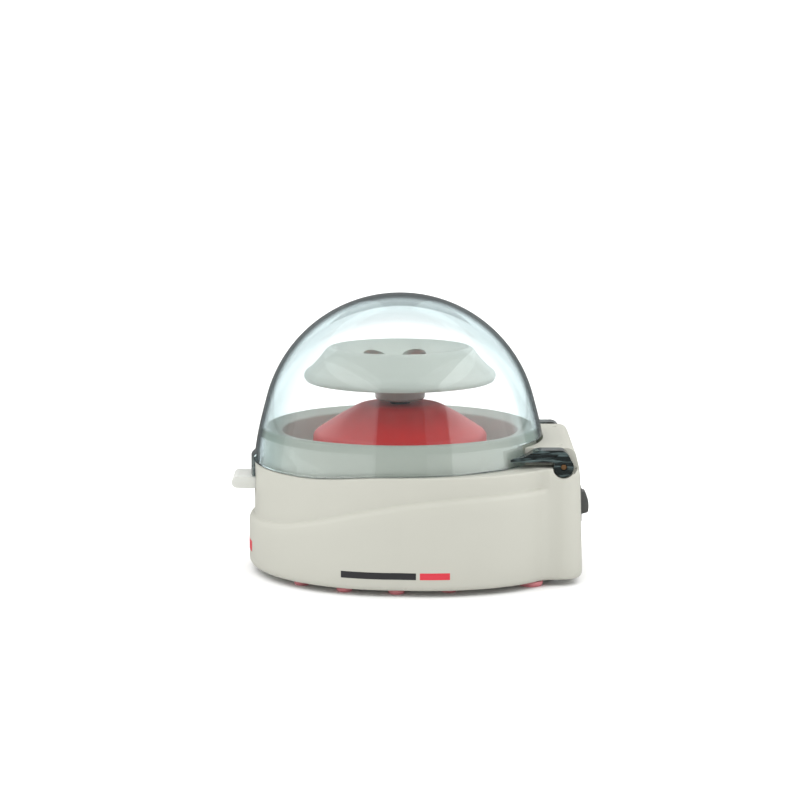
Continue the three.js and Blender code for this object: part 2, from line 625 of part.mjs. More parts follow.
add(base, 'circuit_board', circuitBoard(), BOARD_GREEN);
add(base, 'board_connector', boardConnector(), CASE_WHITE);
add(base, 'board_chip', boardChip(), BLACK_PLASTIC);
add(base, 'board_capacitor', boardCapacitor(), BLACK_PLASTIC);
add(base, 'motor_lead_red', lead([[7, 9, 22.5], [7, 16, 16], [5, 24, 15], [-9, 40, 20], [-11, 49, 22],
  [-11, 52, 18.6]]), WIRE_RED);
add(base, 'motor_lead_black', lead([[-7, 9, 22.5], [-7, 16, 15], [-10, 26, 16], [-14, 40, 20],
  [-14.5, 49, 22], [-14.5, 52, 18.6]]), WIRE_BLACK);
add(base, 'switch_frame', switchFrame(), BLACK_PLASTIC);
add(base, 'switch_terminal_upper', switchTerminal(3), BRONZE);
add(base, 'switch_terminal_lower', switchTerminal(-3), BRONZE);
add(base, 'power_jack', powerJack(), BLACK_PLASTIC);
add(base, 'lid_switch_body', lidSwitchBody(), BLACK_PLASTIC);
add(base, 'latch_pin', latchPin(), STEEL);
add(base, 'latch_spring', latchSpring(), STEEL);
add(base, 'hinge_pin_right', hingePin(1), BRONZE);
add(base, 'hinge_pin_left', hingePin(-1), BRONZE);

add(lid, 'lid_dome', lidDome(), LID_CLEAR);
add(lid, 'lid_arm_right', lidArm(1), ARM_SMOKE);
add(lid, 'lid_arm_left', lidArm(-1), ARM_SMOKE);

add(rotor, 'rotor_disc', rotorDisc(), ROTOR_GREY);
add(rotor, 'rotor_hub', rotorHub(), ROTOR_GREY);
add(rotor, 'rotor_cap', rotorCap(), ROTOR_GREY);
add(rotor, 'hub_o_ring', oRing(74.7), RUBBER);
add(rotor, 'drive_shaft', driveShaft(), STEEL);
add(rotor, 'motor_armature', armature(), STEEL);

add(controls, 'release_tab', releaseTab(), TAB_WHITE);
add(controls, 'switch_rocker', switchRocker(), BLACK_PLASTIC);
add(controls, 'lid_switch_plunger', lidSwitchPlunger(), BLACK_PLASTIC);

export default centrifuge;
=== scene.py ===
"""Mini laboratory centrifuge: the finished visual model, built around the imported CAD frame.

Every length is in millimetres until it becomes a vertex, when MM turns it into metres. Shapes
are drawn about the rotor axis, whose place comes from the frame.
"""
import json
import math

import bmesh
import bpy
from mathutils import Matrix, Vector


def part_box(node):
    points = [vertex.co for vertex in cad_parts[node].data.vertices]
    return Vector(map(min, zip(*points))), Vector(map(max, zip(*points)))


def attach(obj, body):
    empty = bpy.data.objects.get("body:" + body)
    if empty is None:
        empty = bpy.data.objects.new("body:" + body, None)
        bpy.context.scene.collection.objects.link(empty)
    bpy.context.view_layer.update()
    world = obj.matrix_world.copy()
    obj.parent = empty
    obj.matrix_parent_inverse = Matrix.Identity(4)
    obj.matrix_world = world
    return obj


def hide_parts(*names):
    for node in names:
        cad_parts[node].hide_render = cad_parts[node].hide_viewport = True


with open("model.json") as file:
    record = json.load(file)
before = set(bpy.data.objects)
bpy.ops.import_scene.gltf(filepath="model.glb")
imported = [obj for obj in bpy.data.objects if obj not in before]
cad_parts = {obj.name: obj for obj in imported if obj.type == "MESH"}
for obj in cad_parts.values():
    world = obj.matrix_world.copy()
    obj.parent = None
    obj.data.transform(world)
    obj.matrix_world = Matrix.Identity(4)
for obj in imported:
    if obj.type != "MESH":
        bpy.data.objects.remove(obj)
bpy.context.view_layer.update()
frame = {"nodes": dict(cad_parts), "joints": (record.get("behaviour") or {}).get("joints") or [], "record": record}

MM = 0.001
NODES = frame["nodes"]
JOINTS = {joint["name"]: joint for joint in frame["joints"]}


# ------------------------------------------------------------------ places from the frame

def node_box(node):
    """Lowest and highest corners of a CAD node, in millimetres."""
    low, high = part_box(node)
    return [value / MM for value in low], [value / MM for value in high]


def node_centre(node):
    low, high = node_box(node)
    return [(a + b) / 2 for a, b in zip(low, high)]


def joint_place(name):
    return [value / MM for value in JOINTS[name]["pos_m"]]


AXIS_Y = node_centre("drive_shaft")[1]
HINGE_Y = joint_place("lid_hinge")[1] - AXIS_Y
HINGE_Z = joint_place("lid_hinge")[2]
LATCH_Y = joint_place("latch_press")[1] - AXIS_Y
LATCH_Z = joint_place("latch_press")[2]
ROCKER_X, ROCKER_Y, ROCKER_Z = joint_place("rocker_tilt")
ROCKER_Y -= AXIS_Y
JACK_X, _, JACK_Z = node_centre("power_jack")
REAR_FACE = node_box("housing_shell")[1][1] - AXIS_Y
BODY_BOTTOM = node_box("housing_shell")[0][2]
BLOCK_TOP = node_box("housing_shell")[1][2]
LOWER_RADIUS = -(node_box("housing_shell")[0][1] - AXIS_Y)
DOME_TOP = node_box("lid_dome")[1][2]
EAR_INNER = node_box("lid_arm_right")[0][0]
EAR_OUTER = node_box("lid_arm_right")[1][0]
ARM_TOP = node_box("lid_arm_right")[1][2]
SWITCH_FACE = node_box("switch_frame")[1][1] - AXIS_Y

REAR_LEAN = 0.028  # the rear face leans forwards by this much for each millimetre of height
CREASE_Y = 57  # where the round side turns into the square rear
STEP = 2.4  # how far the upper case wall stands in from the lower one
CASE_WALL = 2.4
SHOULDER_FRONT = 24.3
SHOULDER_REAR = 42
RIM_FRONT = 47.2
RIM_REAR = 49.5
SHELF_TOP = 50
DECK_TOP = 45
WELL_RADIUS = 60.3
LIP_HOLLOW = 61.4  # radius cut from the front of the hinge block, so that the dome clears it
BLOCK_HALF = 32
EAR_RADIUS = 4.15
PIN_RADIUS = 1.2
CORNER_RADIUS = 9.5  # the two rear corners in plan
CORNER_X = 34.3
BOTTOM_ROUNDING = 2.8
TUBE_RADIUS = 5.6
TUBE_PITCH = 16.6
TUBE_HEIGHT = 89.4
TUBE_PHASE = 39
TUBE_COUNT = 6


# ------------------------------------------------------------------ camera

CAMERA_DISTANCE = 1218
CAMERA_HEIGHT = 258
AIM_HEIGHT = 72.4
LENS = 129
SENSOR_WIDTH = 36


def place_camera():
    """Side view from +X with a long lens, a little above the rim."""
    camera = bpy.data.objects.new("camera", bpy.data.cameras.new("camera"))
    bpy.context.scene.collection.objects.link(camera)
    camera.data.lens = LENS
    camera.data.sensor_width = SENSOR_WIDTH
    camera.data.clip_start = 0.05
    camera.data.clip_end = 30
    aim = Vector((0, AXIS_Y * MM, AIM_HEIGHT * MM))
    camera.location = (CAMERA_DISTANCE * MM, AXIS_Y * MM, CAMERA_HEIGHT * MM)
    camera.rotation_euler = (aim - camera.location).to_track_quat("-Z", "Y").to_euler()
    bpy.context.scene.camera = camera


place_camera()


# ------------------------------------------------------------------ mesh helpers

def polar(radius, degrees):
    angle = math.radians(degrees)
    return radius * math.cos(angle), radius * math.sin(angle)


def bezier(p0, p1, p2, p3, count):
    """Points of a plane cubic curve, both ends included."""
    points = []
    for i in range(count + 1):
        t = i / count
        weights = ((1 - t) ** 3, 3 * t * (1 - t) ** 2, 3 * t * t * (1 - t), t ** 3)
        points.append(tuple(sum(w * p[k] for w, p in zip(weights, (p0, p1, p2, p3))) for k in (0, 1)))
    return points


def rounded(points, radius, count=5):
    """A closed plane outline with its corners rounded. A point may carry its own radius."""
    result = []
    total = len(points)
    for i, point in enumerate(points):
        size = point[2] if len(point) > 2 else radius
        here = Vector(point[:2])
        before = Vector(points[i - 1][:2]) - here
        after = Vector(points[(i + 1) % total][:2]) - here
        reach = min(size, before.length * 0.49, after.length * 0.49)
        if reach < 0.01:
            result.append(tuple(here))
            continue
        start = here + before.normalized() * reach
        end = here + after.normalized() * reach
        for k in range(count + 1):
            t = k / count
            result.append(tuple(start * (1 - t) ** 2 + here * 2 * t * (1 - t) + end * t * t))
    return result


def new_piece(name, mesh):
    piece = bpy.data.objects.new(name, mesh)
    bpy.context.scene.collection.objects.link(piece)
    return piece


def from_lists(name, vertices, faces):
    """A piece from points in millimetres about the rotor axis, facing outwards."""
    mesh = bpy.data.meshes.new(name)
    mesh.from_pydata([(x * MM, (y + AXIS_Y) * MM, z * MM) for x, y, z in vertices], [], faces)
    edit = bmesh.new()
    edit.from_mesh(mesh)
    bmesh.ops.remove_doubles(edit, verts=edit.verts, dist=1e-6)
    bmesh.ops.dissolve_degenerate(edit, edges=edit.edges, dist=1e-7)
    bmesh.ops.recalc_face_normals(edit, faces=edit.faces)
    edit.to_mesh(mesh)
    edit.free()
    return new_piece(name, mesh)


def turned(name, outline, segments=128, start=(0, 0)):
    """A solid of revolution about a vertical axis from a closed (radius, height) outline."""
    cx, cy = start
    vertices, faces = [], []
    rows = len(outline)
    for i in range(segments):
        c, s = polar(1, 360 * i / segments)
        vertices.extend((cx + r * c, cy + r * s, z) for r, z in outline)
    for i in range(segments):
        j = (i + 1) % segments
        for k in range(rows):
            m = (k + 1) % rows
            if outline[k][0] < 1e-6 and outline[m][0] < 1e-6:
                continue
            faces.append((i * rows + k, j * rows + k, j * rows + m, i * rows + m))
    return from_lists(name, vertices, faces)


def prism(name, outline, low, high, along="z"):
    """An outline run along an axis. Across x it is (y, z); along z it is (x, y)."""
    def place(u, v, w):
        return (w, u, v) if along == "x" else (u, v, w)
    count = len(outline)
    vertices = [place(u, v, w) for w in (low, high) for u, v in outline]
    faces = [tuple(range(count)), tuple(range(count, 2 * count))]
    faces += [(i, (i + 1) % count, count + (i + 1) % count, count + i) for i in range(count)]
    return from_lists(name, vertices, faces)


def box(name, x0, x1, y0, y1, z0, z1):
    return prism(name, [(x0, y0), (x1, y0), (x1, y1), (x0, y1)], z0, z1)


def rod(name, radius, start, end, segments=48):
    """A round bar between two points."""
    a, b = Vector(start), Vector(end)
    turn = Vector((0, 0, 1)).rotation_difference((b - a).normalized())
    ring = [Vector((*polar(radius, 360 * i / segments), 0)) for i in range(segments)]
    vertices = [tuple(turn @ p + base) for base in (a, b) for p in ring]
    faces = [tuple(range(segments)), tuple(range(segments, 2 * segments))]
    faces += [(i, (i + 1) % segments, segments + (i + 1) % segments, segments + i) for i in range(segments)]
    return from_lists(name, vertices, faces)


def apply_modifiers(piece):
    depsgraph = bpy.context.evaluated_depsgraph_get()
    mesh = bpy.data.meshes.new_from_object(piece.evaluated_get(depsgraph))
    piece.modifiers.clear()
    old = piece.data
    piece.data = mesh
    bpy.data.meshes.remove(old)


def combine(piece, others, operation, solver="MANIFOLD"):
    """Joins other solids to a piece, or cuts them from it, and removes them."""
    for other in others:
        modifier = piece.modifiers.new("combine", "BOOLEAN")
        modifier.operation = operation
        modifier.object = other
        modifier.solver = solver
        apply_modifiers(piece)
        mesh = other.data
        bpy.data.objects.remove(other)
        bpy.data.meshes.remove(mesh)


def cut(piece, *others):
    combine(piece, others, "DIFFERENCE")


def join(piece, *others):
    combine(piece, others, "UNION")


def soften(piece, width, segments=3, angle=40):
    """Rounds the sharp edges of a solid."""
    modifier = piece.modifiers.new("edges", "BEVEL")
    modifier.width = width * MM
    modifier.segments = segments
    modifier.limit_method = "ANGLE"
    modifier.angle_limit = math.radians(angle)
    modifier.use_clamp_overlap = True
    apply_modifiers(piece)


def finish_piece(piece, material, body, slot, *nodes, smooth=32):
    """Shades a piece, gives it its material and puts it on its body in place of CAD nodes."""
    edit = bmesh.new()
    edit.from_mesh(piece.data)
    bmesh.ops.dissolve_degenerate(edit, edges=edit.edges, dist=1e-7)
    edit.to_mesh(piece.data)
    edit.free()
    piece.data.materials.clear()
    piece.data.materials.append(material)
    piece.data.shade_smooth()
    piece.data.set_sharp_from_angle(angle=math.radians(smooth))
    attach(piece, body)
    if nodes:
        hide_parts(*nodes)


# ------------------------------------------------------------------ materials

def principled(name):
    material = bpy.data.materials.new(name)
    material.use_nodes = True
    tree = material.node_tree
    return material, tree, tree.nodes["Principled BSDF"]


def moulded(name, color, roughness=0.45, grain=0.35, depth=0.02, coat=0.0, spread=0.03, subsurface=0.0,
            specular=0.5):
    """Injection-moulded plastic: fine spark-eroded grain, faint flow marks and uneven gloss.

    grain is the size of the surface texture in millimetres and depth its height.
    """
    material, tree, shader = principled(name)
    place = tree.nodes.new("ShaderNodeTexCoord")
    flow = tree.nodes.new("ShaderNodeTexNoise")
    flow.inputs["Scale"].default_value = 22
    flow.inputs["Detail"].default_value = 3
    tree.links.new(place.outputs["Object"], flow.inputs["Vector"])
    tint = tree.nodes.new("ShaderNodeValToRGB")
    tint.color_ramp.elements[0].position = 0.3
    tint.color_ramp.elements[1].position = 0.7
    tint.color_ramp.elements[0].color = (*[c * (1 - spread) for c in color], 1)
    tint.color_ramp.elements[1].color = (*[min(1, c * (1 + spread)) for c in color], 1)
    tree.links.new(flow.outputs["Fac"], tint.inputs["Fac"])
    tree.links.new(tint.outputs["Color"], shader.inputs["Base Color"])

    texture = tree.nodes.new("ShaderNodeTexNoise")
    texture.inputs["Scale"].default_value = 1 / (grain * MM)
    texture.inputs["Detail"].default_value = 2
    tree.links.new(place.outputs["Object"], texture.inputs["Vector"])
    gloss = tree.nodes.new("ShaderNodeMapRange")
    gloss.inputs["To Min"].default_value = roughness - 0.05
    gloss.inputs["To Max"].default_value = roughness + 0.05
    tree.links.new(texture.outputs["Fac"], gloss.inputs["Value"])
    tree.links.new(gloss.outputs["Result"], shader.inputs["Roughness"])
    bump = tree.nodes.new("ShaderNodeBump")
    bump.inputs["Distance"].default_value = depth * MM
    bump.inputs["Strength"].default_value = 0.5
    tree.links.new(texture.outputs["Fac"], bump.inputs["Height"])
    tree.links.new(bump.outputs["Normal"], shader.inputs["Normal"])
    shader.inputs["Coat Weight"].default_value = coat
    shader.inputs["Specular IOR Level"].default_value = specular
    shader.inputs["Subsurface Weight"].default_value = subsurface
    shader.inputs["Subsurface Radius"].default_value = (0.002, 0.002, 0.002)
    return material


def metal(name, color, roughness=0.3, scale=900):
    """Turned metal: brushed streaks in colour, gloss and relief."""
    material, tree, shader = principled(name)
    shader.inputs["Metallic"].default_value = 1
    place = tree.nodes.new("ShaderNodeTexCoord")
    stretch = tree.nodes.new("ShaderNodeMapping")
    stretch.inputs["Scale"].default_value = (1, 1, 8)
    tree.links.new(place.outputs["Object"], stretch.inputs["Vector"])
    streaks = tree.nodes.new("ShaderNodeTexNoise")
    streaks.inputs["Scale"].default_value = scale
    tree.links.new(stretch.outputs["Vector"], streaks.inputs["Vector"])
    tint = tree.nodes.new("ShaderNodeValToRGB")
    tint.color_ramp.elements[0].color = (*[c * 0.75 for c in color], 1)
    tint.color_ramp.elements[1].color = (*color, 1)
    tree.links.new(streaks.outputs["Fac"], tint.inputs["Fac"])
    tree.links.new(tint.outputs["Color"], shader.inputs["Base Color"])
    gloss = tree.nodes.new("ShaderNodeMapRange")
    gloss.inputs["To Min"].default_value = roughness * 0.7
    gloss.inputs["To Max"].default_value = roughness * 1.4
    tree.links.new(streaks.outputs["Fac"], gloss.inputs["Value"])
    tree.links.new(gloss.outputs["Result"], shader.inputs["Roughness"])
    return material


def clear_plastic(name, absorb, density, edge_tint, dark_from, roughness=0.01):
    """Clear polycarbonate with faint moulding waves. It is tinted by its own thickness, and
    edge_tint, a list of (facing, colour), deepens the tint towards the edge of the outer wall,
    which the outer_wall attribute marks. Where that wall is seen edge-on it turns dark, which is
    painted shade standing in for dark refraction and reflection: dark_from says from which facing,
    fully at which, and how much of it."""
    material, tree, shader = principled(name)
    shader.inputs["Transmission Weight"].default_value = 1
    shader.inputs["IOR"].default_value = 1.5
    edge = tree.nodes.new("ShaderNodeLayerWeight")
    edge.inputs["Blend"].default_value = 0.5
    tint = tree.nodes.new("ShaderNodeValToRGB")
    ramp = tint.color_ramp
    ramp.elements[0].position, ramp.elements[0].color = edge_tint[0][0], (*edge_tint[0][1], 1)
    ramp.elements[1].position, ramp.elements[1].color = edge_tint[-1][0], (*edge_tint[-1][1], 1)
    for position, color in edge_tint[1:-1]:
        ramp.elements.new(position).color = (*color, 1)
    outer = tree.nodes.new("ShaderNodeAttribute")
    outer.attribute_name = "outer_wall"
    facing = tree.nodes.new("ShaderNodeMath")
    facing.operation = "MULTIPLY"
    tree.links.new(edge.outputs["Facing"], facing.inputs[0])
    tree.links.new(outer.outputs["Fac"], facing.inputs[1])
    tree.links.new(facing.outputs["Value"], tint.inputs["Fac"])
    tree.links.new(tint.outputs["Color"], shader.inputs["Base Color"])
    place = tree.nodes.new("ShaderNodeTexCoord")
    waves = tree.nodes.new("ShaderNodeTexNoise")
    waves.inputs["Scale"].default_value = 60
    tree.links.new(place.outputs["Object"], waves.inputs["Vector"])
    gloss = tree.nodes.new("ShaderNodeMapRange")
    gloss.inputs["To Min"].default_value = roughness * 0.5
    gloss.inputs["To Max"].default_value = roughness * 1.5
    tree.links.new(waves.outputs["Fac"], gloss.inputs["Value"])
    tree.links.new(gloss.outputs["Result"], shader.inputs["Roughness"])
    bump = tree.nodes.new("ShaderNodeBump")
    bump.inputs["Distance"].default_value = 0.02 * MM
    bump.inputs["Strength"].default_value = 0.3
    tree.links.new(waves.outputs["Fac"], bump.inputs["Height"])
    tree.links.new(bump.outputs["Normal"], shader.inputs["Normal"])
    output = tree.nodes["Material Output"]
    volume = tree.nodes.new("ShaderNodeVolumeAbsorption")
    volume.inputs["Color"].default_value = (*absorb, 1)
    volume.inputs["Density"].default_value = density
    tree.links.new(volume.outputs["Volume"], output.inputs["Volume"])
    # painted shade: a near-black surface mixed in where the outer wall is seen edge-on, standing in for the dark
    # refraction and reflection at the dome's edge
    rim = tree.nodes.new("ShaderNodeBsdfPrincipled")
    rim.inputs["Base Color"].default_value = (0.02, 0.03, 0.032, 1)
    rim.inputs["Roughness"].default_value = 0.25
    rim.inputs["Specular IOR Level"].default_value = 0.08
    share = tree.nodes.new("ShaderNodeMapRange")
    share.inputs["From Min"].default_value = dark_from[0]
    share.inputs["From Max"].default_value = dark_from[1]
    share.inputs["To Max"].default_value = dark_from[2]
    tree.links.new(facing.outputs["Value"], share.inputs["Value"])
    mixed = tree.nodes.new("ShaderNodeMixShader")
    tree.links.new(share.outputs["Result"], mixed.inputs["Fac"])
    tree.links.new(shader.outputs["BSDF"], mixed.inputs[1])
    tree.links.new(rim.outputs["BSDF"], mixed.inputs[2])
    tree.links.new(mixed.outputs["Shader"], output.inputs["Surface"])
    return material


def painted_refraction_plastic(name, dark, light, roughness=0.12):
    """Thick clear plastic seen from the side, drawn as opaque plastic: a dark colour, partly its own tint and
    partly painted shade from what it refracts, with paler streaks run along it as painted reflections.
    """
    material, tree, shader = principled(name)
    place = tree.nodes.new("ShaderNodeTexCoord")
    stretch = tree.nodes.new("ShaderNodeMapping")
    stretch.inputs["Scale"].default_value = (260, 90, 700)
    stretch.inputs["Rotation"].default_value = (0.12, 0, 0)
    tree.links.new(place.outputs["Object"], stretch.inputs["Vector"])
    streaks = tree.nodes.new("ShaderNodeTexNoise")
    streaks.inputs["Scale"].default_value = 1
    streaks.inputs["Detail"].default_value = 3
    streaks.inputs["Distortion"].default_value = 0.6
    tree.links.new(stretch.outputs["Vector"], streaks.inputs["Vector"])
    tint = tree.nodes.new("ShaderNodeValToRGB")
    tint.color_ramp.elements[0].position = 0.5
    tint.color_ramp.elements[1].position = 0.74
    tint.color_ramp.elements[0].color = (*dark, 1)
    tint.color_ramp.elements[1].color = (*light, 1)
    tree.links.new(streaks.outputs["Fac"], tint.inputs["Fac"])
    tree.links.new(tint.outputs["Color"], shader.inputs["Base Color"])
    gloss = tree.nodes.new("ShaderNodeMapRange")
    gloss.inputs["To Min"].default_value = roughness * 0.6
    gloss.inputs["To Max"].default_value = roughness * 1.6
    tree.links.new(streaks.outputs["Fac"], gloss.inputs["Value"])
    tree.links.new(gloss.outputs["Result"], shader.inputs["Roughness"])
    return material


CASE_WHITE = moulded("case_white", (0.50, 0.50, 0.44), 0.42, depth=0.012, spread=0.012)
BOWL_GREY = moulded("bowl_grey", (0.53, 0.57, 0.50), 0.45, spread=0.02)
ROTOR_GREY = moulded("rotor_grey", (0.47, 0.52, 0.47), 0.38, spread=0.02, depth=0.01)
# painted shade: the hub is the rotor's grey plastic, darkened and warmed to stand in for the rotor's shadow and
# the red light the cone bounces onto it
HUB_PAINTED_SHADE = moulded("hub_painted_shade", (0.27, 0.225, 0.205), 0.38, spread=0.02, depth=0.01)
CONE_RED = moulded("cone_red", (0.57, 0.012, 0.012), 0.42, spread=0.05, specular=0.2)
FOOT_RED = moulded("foot_red", (0.64, 0.22, 0.24), 0.6, grain=0.5, depth=0.04, spread=0.06)
TAB_WHITE = moulded("tab_white", (0.66, 0.67, 0.63), 0.3, depth=0.006, subsurface=0.5)
DARK_GREY = moulded("dark_grey_plastic", (0.08, 0.082, 0.078), 0.4, grain=0.45, depth=0.03, spread=0.08)
RUBBER = moulded("rubber_black", (0.02, 0.02, 0.02), 0.7, grain=0.6, depth=0.04, spread=0.2)
BOARD_GREEN = moulded("board_green", (0.02, 0.13, 0.05), 0.3, grain=1.2, depth=0.03, coat=0.4, spread=0.25)
WIRE_RED = moulded("wire_red", (0.45, 0.02, 0.02), 0.4, grain=0.8, spread=0.1)
WIRE_BLACK = moulded("wire_black", (0.02, 0.02, 0.02), 0.4, grain=0.8, spread=0.2)
INK_DARK = moulded("ink_dark", (0.02, 0.02, 0.022), 0.45, grain=0.5, depth=0.005, spread=0.15)
INK_RED = moulded("ink_red", (0.62, 0.03, 0.05), 0.45, grain=0.5, depth=0.005, spread=0.1)
STEEL = metal("steel", (0.62, 0.62, 0.60), 0.28)
BRONZE = metal("bronze", (0.42, 0.24, 0.12), 0.35)
LID_TINT = [
    (0.18, (1, 1, 1)), (0.34, (0.88, 0.93, 0.94)), (0.44, (0.69, 0.80, 0.82)), (0.54, (0.53, 0.68, 0.70)),
    (1.0, (0.42, 0.56, 0.6)),
]
# clear lid plastic whose edge-on outer wall is darkened with painted shade
LID_CLEAR = clear_plastic("lid_clear", (0.50, 0.82, 0.86), 25, LID_TINT, (0.66, 0.78, 0.92))
# painted shade and reflections: the clear hinge straps are drawn dark, partly their own tint and partly the dark
# they refract, with paler streaks standing in for refracted highlights
ARM_PAINTED_REFRACTION = painted_refraction_plastic("lid_smoke", (0.006, 0.011, 0.011), (0.12, 0.17, 0.17))

SLOT_MATERIALS = {
    "case_white": CASE_WHITE, "bowl_grey": BOWL_GREY, "rotor_grey": ROTOR_GREY, "cone_red": CONE_RED,
    "foot_red": FOOT_RED, "tab_white": TAB_WHITE, "black_plastic": DARK_GREY, "rubber_black": RUBBER,
    "board_green": BOARD_GREEN, "wire_red": WIRE_RED, "wire_black": WIRE_BLACK, "steel": STEEL,
    "bronze": BRONZE, "lid_clear": LID_CLEAR, "lid_smoke": ARM_PAINTED_REFRACTION,
}
for part in frame["record"]["subparts"]:
    node = NODES[part["node"]]
    for holder in node.material_slots:
        holder.material = SLOT_MATERIALS[part["material_slot"]]


# ------------------------------------------------------------------ case

def case_half_outline():
    """Right half of the lower case in plan, from the front middle round to the rear middle."""
    front = [polar(LOWER_RADIUS, -90 + 90 * i / 48) for i in range(49)]
    side = bezier((LOWER_RADIUS, 0), (68.6, 22), (61.5, 45.5), (46.5, 58.5), 40)
    blend = bezier((46.5, 58.5), (44.8, 60.5), (44, 62.5), (43.8, 65.5), 12)
    arc = [polar(CORNER_RADIUS, 90 * i / 14) for i in range(15)]
    corner = [(CORNER_X + x, REAR_FACE - CORNER_RADIUS + y) for x, y in arc]
    rear = [(CORNER_X * (1 - i / 10), REAR_FACE) for i in range(1, 11)]
    return front + side[1:] + blend[1:] + corner + rear


def leaning(y, z):
    """The y of a case point once the rear leans forwards."""
    rearward = max(0, (y - CREASE_Y) / (REAR_FACE - CREASE_Y))
    return y - rearward * REAR_LEAN * (z - BODY_BOTTOM)


def smoothstep(value, low, high):
    t = min(1, max(0, (value - low) / (high - low)))
    return t * t * (3 - 2 * t)


def curve_height(curve):
    """Height along a side-view curve as a function of y."""
    def height(y):
        if y <= curve[0][0]:
            return curve[0][1]
        for (y0, z0), (y1, z1) in zip(curve, curve[1:]):
            if y <= y1:
                return z0 + (z1 - z0) * (y - y0) / (y1 - y0)
        return curve[-1][1]
    return height


shoulder_height = curve_height(bezier(
    (-66, SHOULDER_FRONT), (-34, SHOULDER_FRONT + 2), (-22, SHOULDER_REAR), (57, SHOULDER_REAR), 60))
rim_height = curve_height(bezier((-44, RIM_FRONT), (-30, RIM_FRONT), (-20, RIM_REAR), (-5, RIM_REAR), 24))


# soft ledge under the upper wall: a small hollow at its foot, then a rounded brow, each as the
# share of the step still left and the drop below the shoulder
LEDGE = (
    (0.98, -0.35), (0.9, -0.05), (0.72, 0.12), (0.5, 0.4), (0.28, 0.95), (0.1, 1.75), (0.0, 2.8),
)


def case_column(point, normal):
    """Section of the case wall at one outline point, from the deck middle over the rim and
    down the outside, then up the inside to the underside of the deck. Gives 3-D points."""
    x, y = point
    nx, ny = normal
    rear = smoothstep(y, 58.5, 63)
    facing_rear = smoothstep(ny, 0.3, 0.9) * rear
    step = STEP * (1 - rear)
    shoulder = shoulder_height(y)
    rim = rim_height(y) * (1 - rear) + SHELF_TOP * rear
    lip = 0.7 + 3.3 * facing_rear
    length = math.hypot(x, y)
    well_x, well_y = x * WELL_RADIUS / length, y * WELL_RADIUS / length
    well_rim = rim_height(well_y) * (1 - rear) + SHELF_TOP * rear

    column = [(well_x * 0.5, well_y * 0.5, DECK_TOP), (well_x, well_y, DECK_TOP),
              (well_x, well_y, well_rim - 0.4), (well_x * 1.006, well_y * 1.006, well_rim)]

    def outside(inset, z):
        column.append((x - nx * inset, y - ny * inset, z))
    for k in range(5):
        angle = math.radians(90 * k / 4)
        outside(step + lip * (1 - math.sin(angle)), rim - lip * (1 - math.cos(angle)))
    wall_low = shoulder + 0.9
    wall_high = rim - lip
    for k in range(1, 5):
        outside(step, wall_high + (wall_low - wall_high) * k / 4)
    for share, drop in LEDGE:
        outside(step * share, shoulder - drop)
    low_top, low_bottom = shoulder - LEDGE[-1][1], BODY_BOTTOM + BOTTOM_ROUNDING
    for k in range(1, 7):
        outside(0, low_top + (low_bottom - low_top) * k / 6)
    for k in range(1, 5):
        angle = math.radians(90 * k / 4)
        outside(2 * (1 - math.cos(angle)), low_bottom - BOTTOM_ROUNDING * math.sin(angle))
    outside(CASE_WALL, BODY_BOTTOM)
    outside(CASE_WALL, SHOULDER_FRONT - 5)
    outside(CASE_WALL + STEP, SHOULDER_FRONT - 3)
    outside(CASE_WALL + STEP, DECK_TOP - 2)
    inner = column[-1]
    column.append((inner[0] * 0.5, inner[1] * 0.5, DECK_TOP - 2))
    return [(px, leaning(py, pz), pz) for px, py, pz in column]


def case_shell():
    half = case_half_outline()
    ring = half + [(-x, y) for x, y in reversed(half[1:-1])]
    count = len(ring)
    columns = []
    for i, point in enumerate(ring):
        before, after = ring[i - 1], ring[(i + 1) % count]
        tangent = Vector((after[0] - before[0], after[1] - before[1])).normalized()
        columns.append(case_column(point, (tangent.y, -tangent.x)))
    rows = len(columns[0])
    vertices = [point for column in columns for point in column]
    faces = []
    for i in range(count):
        j = (i + 1) % count
        faces += [(i * rows + k, i * rows + k + 1, j * rows + k + 1, j * rows + k) for k in range(rows - 1)]
    top, under = len(vertices), len(vertices) + 1
    vertices += [(0, 0, DECK_TOP), (0, 0, DECK_TOP - 2)]
    for i in range(count):
        j = (i + 1) % count
        faces.append((top, i * rows, j * rows))
        faces.append((under, j * rows + rows - 1, i * rows + rows - 1))
    return from_lists("case_shell", vertices, faces)


def hinge_block():
    """Raised block between the ears: flat top, steep rear slope, front hollowed for the dome."""
    low, bend = 44, 48
    profile = rounded([
        (50, low, 0), (leaning(REAR_FACE, low) - 0.05, low, 0), (leaning(REAR_FACE, bend) - 0.05, bend, 3),
        (73.2, BLOCK_TOP, 3.6), (50, BLOCK_TOP, 0),
    ], 0, 8)
    block = prism("hinge_block", profile, -BLOCK_HALF, BLOCK_HALF, along="x")
    cut(block, rod("hollow", LIP_HOLLOW, (0, 0, 30), (0, 0, 90), 256))
    soften(block, 0.8, 4, 35)
    return block


